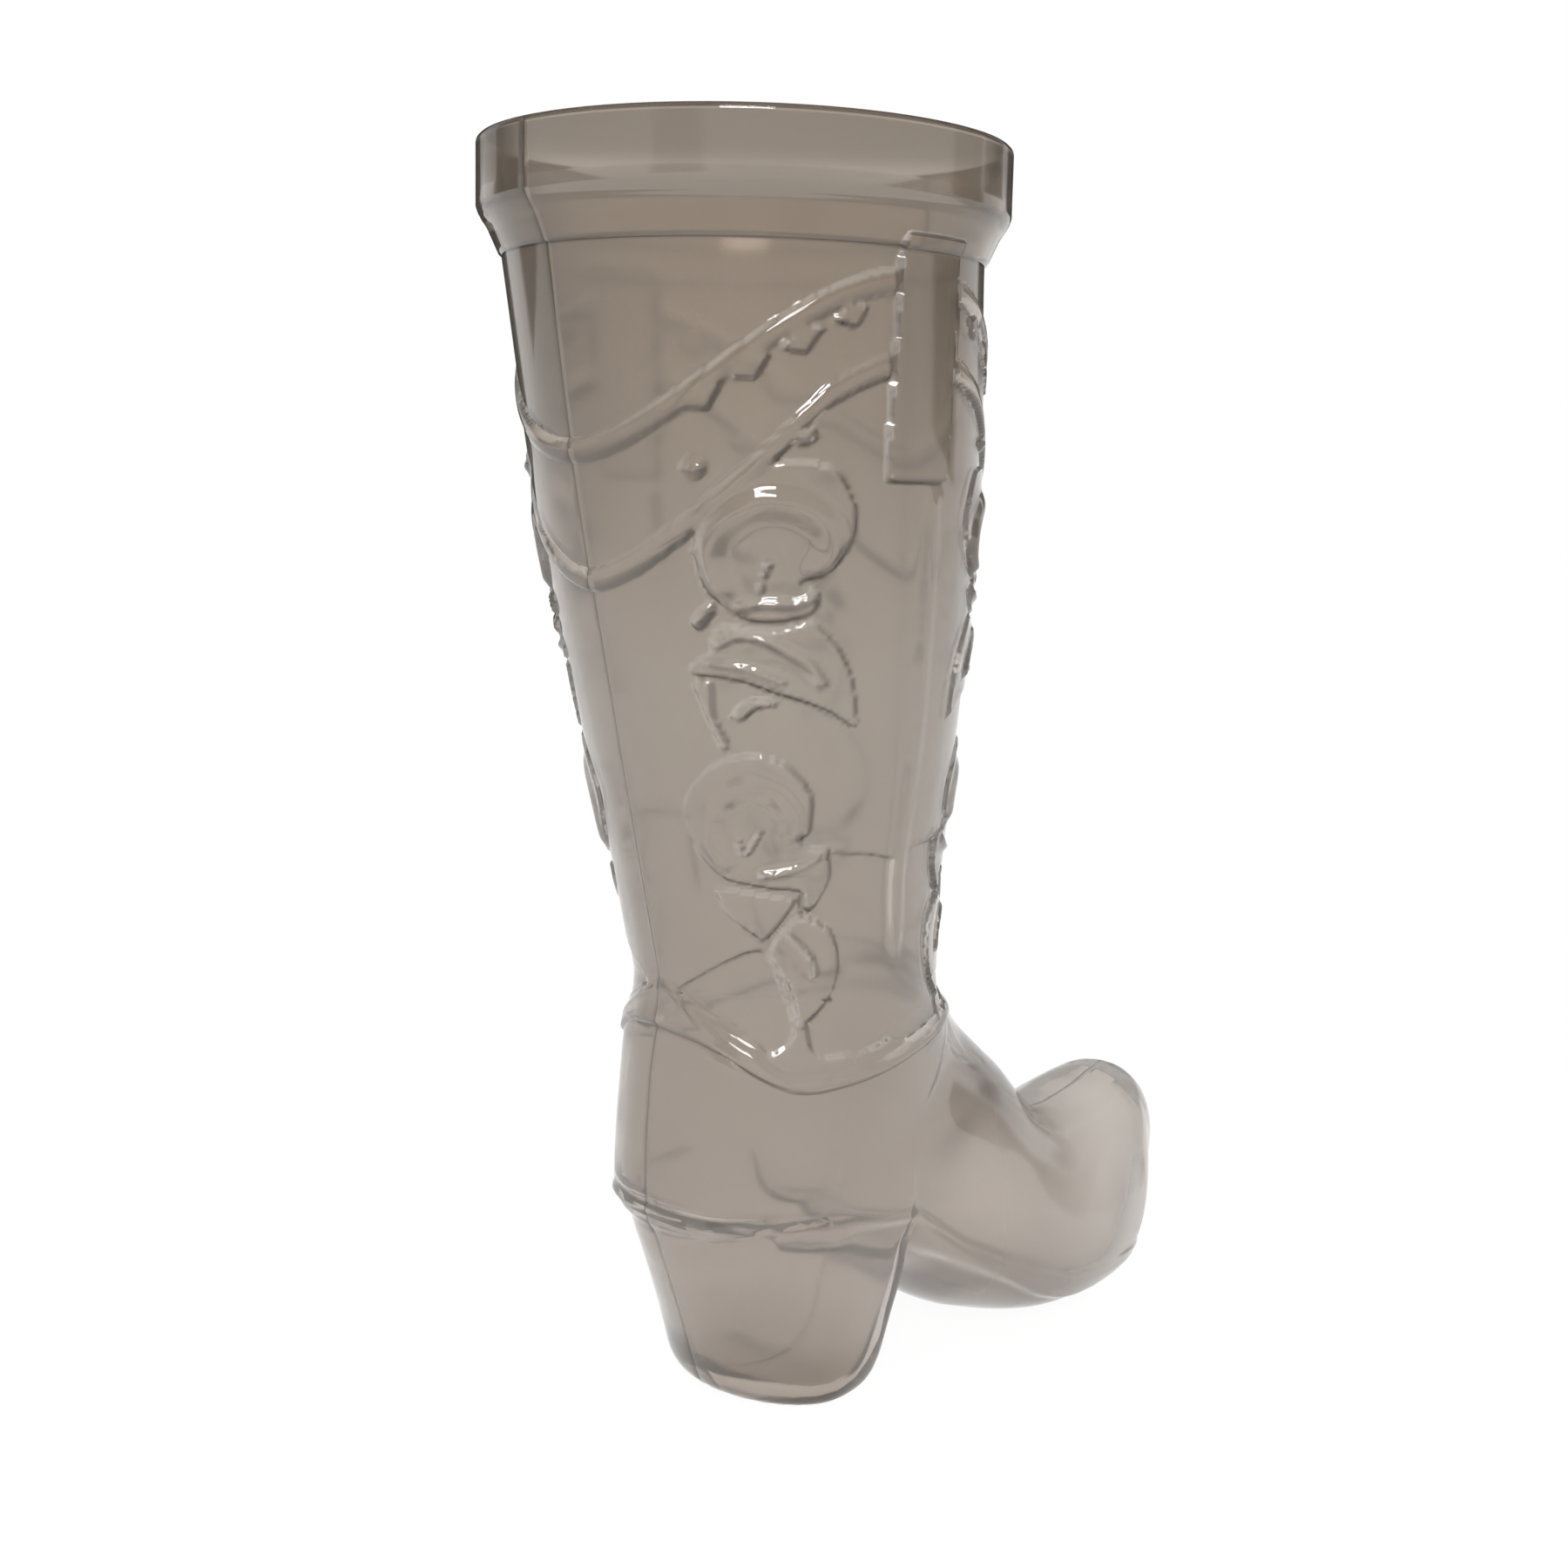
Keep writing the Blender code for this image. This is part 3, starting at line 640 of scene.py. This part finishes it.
within_strap = strap_depth(skin)
strap = raised(within_strap, STRAP_PROUD)
within_yoke, upper_border, lower_border = yoke_depths(skin)
beside_strap = rounded_step(-within_strap / STRAP_MARGIN)
yoke = raised(within_yoke, YOKE_PROUD)
for border in (upper_border, lower_border):
    crown = 1 - (1 - np.clip(border / (YOKE_BORDER / 2), 0, 1)) ** 2
    yoke = np.maximum(yoke, raised(border, BORDER_PROUD) + BORDER_CROWN * crown * (border > 0))
for outline in lozenges:
    yoke = np.maximum(yoke, raised(field_depth(outline, skin), LOZENGE_PROUD))
ornament = np.zeros(skin.shape[:2])
for outline, rolls in outlines:
    depth = field_depth(outline, skin)
    pad = raised(depth, PAD_PROUD)
    ornament = np.maximum(ornament, pad)
    for line, width, high in rolls:
        bead = high * roll(line, width, skin) * rounded_step(depth / PAD_MARGIN)
        ornament = np.maximum(ornament, pad + bead)
sunk = np.zeros(skin.shape[:2])
for outline in hollows:
    sunk = np.maximum(sunk, raised(field_depth(outline, skin), SUNK_DEPTH))
band = band_height(skin)
welt = welt_height(skin)
sole = softened(raised(sole_depth(skin), SOLE_PROUD, SOFT_SHOULDER), 2)
turned, _, height = place(skin)
fold = FOLD_PROUD * (1 - rounded_step(np.abs(turned - FOLD_TURN) * girth(height) / FOLD_HALF_WIDTH))
fold = fold * rounded_step((STRAP_BOTTOM - height) / FOLD_RUN_IN)
fold = fold * rounded_step((height - FOLD_BOTTOM) / FOLD_RUN_OUT)
above = np.maximum.reduce([strap, yoke * beside_strap, ornament, fold, band, welt, sole])
relief = above - sunk * (1 - rounded_step(above / SUNK_MARGIN))


# Painted shade and highlight: fine edges get a dark line painted on the side that faces this way and a
# bright one on the other, as refraction would give them
SHADE_WAY = np.array((0.61, -0.52, -0.60))
SHADE_SLOPE = 0.25
SHADE_SPREAD = 0.4


def painted_edge_shade(height, points):
    """Painted lines at the foot of every raised edge: 1, shade, where it faces the front or the sole, -1,
    highlight, where it faces back and up.
    """
    dark, light = np.zeros(height.shape), np.zeros(height.shape)
    for axis in (0, 1):
        for step in (1, -1):
            away = points - np.roll(points, step, axis)
            length = np.linalg.norm(away, axis=2)
            drop = (np.roll(height, step, axis) - height) / length * (away @ SHADE_WAY) / length
            dark, light = np.maximum(dark, drop), np.maximum(light, -drop)
    dark, light = (rounded_step((drop - SHADE_SLOPE) / SHADE_SPREAD) for drop in (dark, light))
    return dark - light


# How dark the painted shade lines are: degrees from the back seam, and shares, for all edges and for the
# band's lower edge
EDGE_SHADE = ((15, 42), (0.25, 1))
BAND_SHADE = ((0, 22, 28, 46, 52, 180), (0.5, 0.5, 0, 0, 1, 1))
STRAP_SHADE = 0.2
SEAM_SHADE = 0.6
BAND_CLEAR = 1.5
neck_row = int(np.argmin(np.abs(levels[:, 0] - NECK_HEIGHT)))
ankle_row = len(levels)
band_row += ankle_row
# Painted shade and painted highlight lines along the trim's edges, faded towards the back seam
painted_shade_lines = painted_edge_shade(relief, skin) * np.interp(turned, *EDGE_SHADE)
painted_shade_lines[(np.abs(above_band_edge(skin)) < BAND_CLEAR) | (welt > 0.01)] = 0
# Painted shade lines along the band's lower edge and under the neck's step
painted_shade_lines[band_row] = np.interp(turned[band_row], *BAND_SHADE)
painted_shade_lines[neck_row] = 1
painted_shade_lines = np.where(within_strap > SHOULDER, np.maximum(painted_shade_lines, STRAP_SHADE), painted_shade_lines)
painted_shade_lines[:, (0, -1)] = SEAM_SHADE
skin = skin + skin_normals * relief[..., None]

# Half shells
# Two mirrored mouldings meet in a straight seam down the back, under the sole and up the front.  Each
# is one closed wall: outer skin with the trim, rounded lip, plain inner skin and two flat seam edges.
SEAM_GAP = 0.08
SEAM_NOTCH = 0.12
SEAM_CLEAR = 0.02
HEEL_RUN = (1.6, 5.2)
LIP_STEPS = 5
LIP_SHADE = 0.6
COLLAR_HAZE = 0.1
SHARP_EDGE = 30.0

# The lining keeps some of the skin's rows: from which row, up to which, and every how many
row_count = len(skin)
toe_row = row_count - 1
heel_row, waist_row = (ankle_row + int(np.argmax(spine_places[:, 0] > spot)) for spot in HEEL_RUN)
inner_rows = np.concatenate([np.arange(first, last, step) for first, last, step in (
    (0, 2, 1), (COLLAR_ROWS, neck_row, 2), (neck_row, ankle_row, 16), (ankle_row, heel_row, 4),
    (heel_row, waist_row, 2), (waist_row, toe_row, 4), (toe_row, row_count, 1),
)])
inner_levels = levels[inner_rows[inner_rows < ankle_row]]
inner_guides = guides[inner_rows[inner_rows >= ankle_row] - ankle_row]
lining = np.concatenate([shaft_points(inner_levels, WALL), foot_points(inner_guides, WALL)])

lip_turn = np.linspace(0, np.pi, LIP_STEPS + 2)[1:-1, None, None]
lip_middle = (skin[:1] + lining[:1]) / 2
lip_out = skin[:1] - lip_middle
lip = lip_middle + lip_out * np.cos(lip_turn) + np.array((0, 0, WALL / 2)) * np.sin(lip_turn)

skin[:, (0, -1)] -= skin_normals[:, (0, -1)] * SEAM_NOTCH
sheet = np.concatenate([skin[::-1], lip, lining])
sheet[:, (0, -1), 1] = -SEAM_GAP / 2
sheet[:, 1:-1, 1] = np.minimum(sheet[:, 1:-1, 1], -SEAM_GAP / 2 - SEAM_CLEAR)
toe_tips = np.array([skin[-1].mean(0), lining[-1].mean(0)])
toe_tips[:, 1] = -SEAM_GAP / 2
edge_shade = np.zeros(sheet.shape[:2])
edge_shade[:row_count] = painted_shade_lines[::-1]
# Painted shade round the lip, for the rim's dark line
edge_shade[row_count - 1:row_count + LIP_STEPS + 1] = LIP_SHADE
inner_haze = np.zeros(sheet.shape[:2])
inner_haze[row_count + LIP_STEPS:] = np.where(lining[..., 2] > NECK_HEIGHT, COLLAR_HAZE, 1)


def half_shell(name, side):
    """One closed half: grid faces, the toe's two tips and the strips along the seam."""
    rows, count = sheet.shape[:2]
    index = np.arange(rows * count).reshape(rows, count)
    outer_tip, inner_tip = rows * count, rows * count + 1
    faces = np.stack([index[:-1, :-1], index[:-1, 1:], index[1:, 1:], index[1:, :-1]], axis=-1)
    faces = faces.reshape(-1, 4).tolist()
    for k in range(count - 1):
        faces.append([outer_tip, int(index[0, k + 1]), int(index[0, k])])
        faces.append([inner_tip, int(index[-1, k]), int(index[-1, k + 1])])
    lining_start = row_count + LIP_STEPS
    for column, order in ((0, 1), (-1, -1)):
        edge = index[:, column].tolist()
        strips = [[edge[row_count - 1]] + edge[row_count:lining_start] + [edge[lining_start]]]
        for i, (a, b) in enumerate(zip(inner_rows, inner_rows[1:])):
            outside = [edge[row_count - 1 - r] for r in range(a, b + 1)]
            strips.append(outside[::-1] + [edge[lining_start + i], edge[lining_start + i + 1]])
        strips.append([outer_tip, edge[0], edge[-1], inner_tip])
        faces += [strip[::order] for strip in strips]
    points = np.vstack([sheet.reshape(-1, 3), toe_tips]) + (MOUTH_X, 0, 0)
    points = points * (1, side, 1) * MM
    mesh = bpy.data.meshes.new(name)
    mesh.from_pydata(points.tolist(), [], [face[::side] for face in faces])
    mesh.polygons.foreach_set("use_smooth", np.ones(len(faces), bool))
    mesh.set_sharp_from_angle(angle=math.radians(SHARP_EDGE))
    for title, values, tips in (("edge_shade", edge_shade, (0, 0)), ("inner_haze", inner_haze, (0, 1))):
        layer = mesh.attributes.new(title, "FLOAT", "POINT")
        layer.data.foreach_set("value", np.append(values, tips).astype(np.float32))
    piece = bpy.data.objects.new(name, mesh)
    bpy.context.collection.objects.link(piece)
    return piece


class Finish:
    """A value or colour of a material; arithmetic on values adds Math nodes to it."""

    def __init__(self, tree, socket=None):
        self.tree = tree
        self.socket = socket

    def node(self, kind, settings=None, inputs=None, outlet=0):
        """Adds a node, sets it up, joins its sockets and gives back one outlet."""
        new = self.tree.nodes.new(kind)
        for name, value in (settings or {}).items():
            if name == "stops":
                while len(new.color_ramp.elements) < len(value):
                    new.color_ramp.elements.new(0.5)
                for element, (position, colour) in zip(new.color_ramp.elements, value):
                    element.position = position
                    element.color = colour
            else:
                setattr(new, name, value)
        for key, value in (inputs or {}).items():
            if isinstance(value, Finish):
                self.tree.links.new(value.socket, new.inputs[key])
            else:
                new.inputs[key].default_value = value
        return Finish(self.tree, new.outputs[outlet] if len(new.outputs) else None)

    def math(self, operation, first, second):
        """Adds a Math node on two values."""
        return self.node("ShaderNodeMath", {"operation": operation}, {0: first, 1: second})

    def __add__(self, other):
        return self.math("ADD", self, other)

    def __radd__(self, other):
        return self.math("ADD", other, self)

    def __sub__(self, other):
        return self.math("SUBTRACT", self, other)

    def __rsub__(self, other):
        return self.math("SUBTRACT", other, self)

    def __mul__(self, other):
        return self.math("MULTIPLY", self, other)

    def __rmul__(self, other):
        return self.math("MULTIPLY", other, self)


# Tint of the wall by its share of the cup's height: dark at the heel's base and the collar
TINT = [
    (0.0, (0.445, 0.376, 0.31, 1)),
    (0.06, (0.64, 0.585, 0.54, 1)),
    (0.12, (0.64, 0.585, 0.54, 1)),
    (0.2, (0.58, 0.525, 0.475, 1)),
    (0.6, (0.59, 0.54, 0.488, 1)),
    (0.81, (0.51, 0.445, 0.38, 1)),
    (0.92, (0.465, 0.40, 0.335, 1)),
    (1.0, (0.465, 0.40, 0.335, 1)),
]
TOE_TINT = (0.94, 0.90, 0.86, 1)
# Colours of the painted shade lines and the painted highlight lines
PAINTED_SHADE_COLOUR = (0.05, 0.04, 0.03, 1)
PAINTED_HIGHLIGHT_COLOUR = (0.97, 0.94, 0.90, 1)
PAINTED_LINE_STRENGTH = 0.7
TINT_WANDER = 0.04
CLOUD_SCALE = 28.0
# From where to where along X, in metres, the wall turns pale and clouded towards the toe
PALE_RUN = (0.02, 0.07)
CLOUDED_RUN = (-0.005, 0.045)
REFRACTION = 1.47
CLEARNESS = 0.85


def smoky_plastic(name):
    """Clear plastic with a grey-brown cast, paler and hazier towards the toe, with painted shade and
    highlight lines at edges.
    """
    material = bpy.data.materials.new(name)
    material.use_nodes = True
    material.node_tree.nodes.clear()
    plastic = Finish(material.node_tree)
    here = plastic.node("ShaderNodeTexCoord", outlet="Object")
    ahead, height = (plastic.node("ShaderNodeSeparateXYZ", inputs={0: here}, outlet=axis) for axis in "XZ")
    cloud = plastic.node("ShaderNodeTexNoise", inputs={"Vector": here, "Scale": CLOUD_SCALE, "Detail": 3.0})
    up = height * (1 / (CUP_HEIGHT * MM))
    tint = plastic.node("ShaderNodeValToRGB", {"stops": TINT}, {0: up + (cloud - 0.5) * TINT_WANDER})
    pale, clouded = (plastic.node("ShaderNodeMapRange", {"interpolation_type": "SMOOTHSTEP"},
                                  {"Value": ahead, "From Min": start, "From Max": end})
                     for start, end in (PALE_RUN, CLOUDED_RUN))
    shade, haze = (plastic.node("ShaderNodeAttribute", {"attribute_name": title}, outlet="Fac")
                   for title in ("edge_shade", "inner_haze"))
    # Painted shade and painted highlight lines darken and lighten the tint
    dark, bright = (plastic.math("MAXIMUM", line, 0.0) * PAINTED_LINE_STRENGTH for line in (shade, 0.0 - shade))
    for share, colour in ((pale, TOE_TINT), (dark, PAINTED_SHADE_COLOUR), (bright, PAINTED_HIGHLIGHT_COLOUR)):
        tint = plastic.node("ShaderNodeMix", {"data_type": "RGBA"}, {0: share, 6: tint, 7: colour}, outlet=2)
    flow = plastic.node("ShaderNodeBump", inputs={"Strength": 0.1, "Distance": 0.0008, "Height": cloud})
    surface = plastic.node("ShaderNodeBsdfPrincipled", inputs={
        "Base Color": tint,
        "Roughness": 0.03 + cloud * 0.05 + clouded * 0.07 + haze * (0.1 + clouded * 0.25),
        "IOR": REFRACTION,
        "Transmission Weight": CLEARNESS,
        "Normal": flow,
    })
    plastic.node("ShaderNodeOutputMaterial", inputs={"Surface": surface})
    return material


for node, slot, side in (("right_half_shell", "right_shell_plastic", 1),
                         ("left_half_shell", "left_shell_plastic", -1)):
    shell = half_shell(node + "_moulding", side)
    shell.data.materials.append(smoky_plastic(slot))
    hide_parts(node)
    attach(shell, "root")

# Floor
# A wide sheet of matt white paper that the cup stands on.  It looks white to the eye and through the
# plastic, and keeps the cup's soft shadow.
FLOOR_HALF = 3.0
FLOOR_DROP = 0.0002
PAPER_COLOUR = (0.9, 0.9, 0.9, 1)
PAPER_GLOW = 1.05
PAPER_SEEN = 0.9
floor_mesh = bpy.data.meshes.new("studio_floor")
floor_mesh.from_pydata([(x * FLOOR_HALF, y * FLOOR_HALF, -FLOOR_DROP)
                        for x, y in ((-1, -1), (1, -1), (1, 1), (-1, 1))], [], [(0, 1, 2, 3)])
floor = bpy.data.objects.new("studio_floor", floor_mesh)
bpy.context.collection.objects.link(floor)
paper = bpy.data.materials.new("white_paper")
paper.use_nodes = True
paper.node_tree.nodes.clear()
paper_finish = Finish(paper.node_tree)
camera_ray, glossy_ray, passing_ray = (
    paper_finish.node("ShaderNodeLightPath", outlet=name)
    for name in ("Is Camera Ray", "Is Glossy Ray", "Is Transmission Ray"))
seen = paper_finish.math("MINIMUM", camera_ray + glossy_ray + passing_ray, 1.0)
matt = paper_finish.node("ShaderNodeBsdfDiffuse", inputs={"Color": PAPER_COLOUR})
white = paper_finish.node("ShaderNodeEmission", inputs={"Color": (1, 1, 1, 1), "Strength": PAPER_GLOW})
paper_surface = paper_finish.node("ShaderNodeMixShader", inputs={0: seen * PAPER_SEEN, 1: matt, 2: white})
paper_finish.node("ShaderNodeOutputMaterial", inputs={"Surface": paper_surface})
floor.data.materials.append(paper)

# Light
# A white room with a darker ceiling.  Narrow dark panels stand round it, which give clear plastic its dark
# edges, and two strip lamps hang over the viewer's shoulder for the highlights on the relief.
CEILING_RISE = (0.124, 0.147)
CEILING_SHADE = 0.55
# Panels: degrees from +Y towards the toe, and the rise above which each begins
PANELS = ((21.5, -1.0), (-21.5, -1.0), (-112.0, -1.0), (113.0, -1.0), (62.0, 0.03), (90.0, 0.09))
PANEL_HALF_WIDTH = (14.0, 8.0)
PANEL_EDGE = 0.04
PANEL_SHADE = 0.96
ROOM_LEVEL = 0.7
world = bpy.data.worlds.new("studio")
bpy.context.scene.world = world
world.use_nodes = True
world.node_tree.nodes.clear()
room = Finish(world.node_tree)


def between(value, low, high):
    """Smooth step of a value of the room, from 0 at the low end to 1 at the high end."""
    return room.node("ShaderNodeMapRange", {"interpolation_type": "SMOOTHSTEP"},
                     {"Value": value, "From Min": low, "From Max": high})


direction = room.node("ShaderNodeTexCoord", outlet="Generated")
rise = room.node("ShaderNodeSeparateXYZ", inputs={0: direction}, outlet="Z")
level_way = room.node("ShaderNodeVectorMath", {"operation": "MULTIPLY"}, {0: direction, 1: (1, 1, 0)})
level_way = room.node("ShaderNodeVectorMath", {"operation": "NORMALIZE"}, {0: level_way})
shade = between(rise, *CEILING_RISE) * CEILING_SHADE
for panel_turn, lowest in PANELS:
    panel_way = (math.sin(math.radians(panel_turn)), math.cos(math.radians(panel_turn)), 0)
    toward = room.node("ShaderNodeVectorMath", {"operation": "DOT_PRODUCT"},
                       {0: level_way, 1: panel_way}, outlet="Value")
    panel = between(toward, *(math.cos(math.radians(half)) for half in PANEL_HALF_WIDTH))
    shade = room.math("MAXIMUM", shade, panel * between(rise, lowest, lowest + PANEL_EDGE) * PANEL_SHADE)
camera_ray, glossy_ray, passing_ray = (
    room.node("ShaderNodeLightPath", outlet=name)
    for name in ("Is Camera Ray", "Is Glossy Ray", "Is Transmission Ray"))
glassy_ray = room.math("MAXIMUM", glossy_ray, passing_ray)
strength = camera_ray + (1.0 - camera_ray) * (glassy_ray * (1.0 - shade) + (1.0 - glassy_ray) * ROOM_LEVEL)
backdrop = room.node("ShaderNodeBackground", inputs={"Color": (1, 1, 1, 1), "Strength": strength})
room.node("ShaderNodeOutputWorld", inputs={"Surface": backdrop})

LAMP_PLACES = ((-1.05, -1.20, 0.72), (-1.0, -1.14, 1.02))
LAMP_SIZE = (0.6, 0.14)
LAMP_POWER = 9.0
LAMP_AIM = Vector((-0.03, 0.0, 0.12))
for number, lamp_place in enumerate(LAMP_PLACES):
    lamp_data = bpy.data.lights.new(f"strip_lamp_{number}", "AREA")
    lamp_data.shape = "RECTANGLE"
    lamp_data.size, lamp_data.size_y = LAMP_SIZE
    lamp_data.energy = LAMP_POWER
    lamp = bpy.data.objects.new(lamp_data.name, lamp_data)
    lamp.location = lamp_place
    lamp.rotation_mode = "QUATERNION"
    lamp.rotation_quaternion = (LAMP_AIM - lamp.location).to_track_quat("-Z", "Y")
    bpy.context.collection.objects.link(lamp)

# Camera
# Close to the cup, from behind its right side and a little below its rim, as one photographs it on a
# table; the lens is given by the focal length in pixels of a square picture.
CAMERA_PLACE = Vector((-268.6, -274.2, 165.7)) * MM
CAMERA_AIM = Vector((-31.0, -8.6, 113.6)) * MM
CAMERA_ROLL = 1.25
IMAGE_SIZE = 1800
FOCUS_PIXELS = 2346.0
SENSOR_WIDTH = 36.0
camera_data = bpy.data.cameras.new("camera")
camera_data.sensor_width = SENSOR_WIDTH
camera_data.lens = SENSOR_WIDTH * FOCUS_PIXELS / IMAGE_SIZE
camera = bpy.data.objects.new("camera", camera_data)
camera.location = CAMERA_PLACE
camera.rotation_mode = "QUATERNION"
look = (CAMERA_AIM - CAMERA_PLACE).to_track_quat("-Z", "Y")
camera.rotation_quaternion = look @ Quaternion((0, 0, 1), math.radians(CAMERA_ROLL))
bpy.context.collection.objects.link(camera)
bpy.context.scene.camera = camera
bpy.context.scene.view_settings.view_transform = "Standard"
